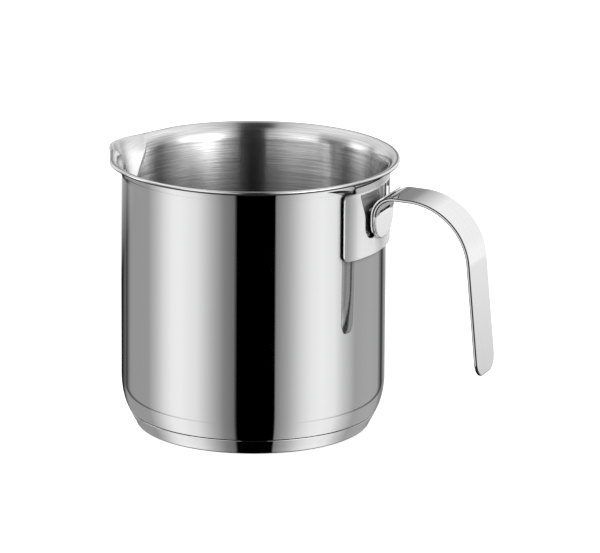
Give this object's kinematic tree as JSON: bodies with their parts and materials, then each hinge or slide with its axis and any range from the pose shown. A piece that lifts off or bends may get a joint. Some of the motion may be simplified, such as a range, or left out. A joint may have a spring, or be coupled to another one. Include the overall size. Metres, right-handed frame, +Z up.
{
  "type": "milk boiler",
  "caption": "Tall straight-sided steel pot with a flared and rolled rim, a pouring lip opposite a bent strap handle, a windowed saddle bracket and a bonded flat base.",
  "frame": {"origin": "centre of the flat underside of the base", "axes": "+Z up along the pot's axis, +X towards the handle, -X towards the pouring lip, +Y across; the XZ plane is the plane of symmetry"},
  "size_m": [0.2149, 0.1552, 0.1466],
  "materials": {
    "polished_steel": "mirror-polished stainless steel outside, fine circular brushing inside",
    "base_steel": "polished stainless steel with a thin bright top edge",
    "core_aluminium": "plain pressed disc, hidden inside the base",
    "bracket_steel": "satin stainless sheet",
    "strap_steel": "polished stainless strap with a satin tongue",
    "weld_steel": "fused weld metal"
  },
  "bodies": {
    "root": {"vessel": "polished_steel", "core_disc": "core_aluminium", "base_cap": "base_steel", "bracket": "bracket_steel", "handle_strap": "strap_steel", "wall_weld_1": "weld_steel", "wall_weld_2": "weld_steel", "wall_weld_3": "weld_steel", "wall_weld_4": "weld_steel"}
  },
  "joints": []
}
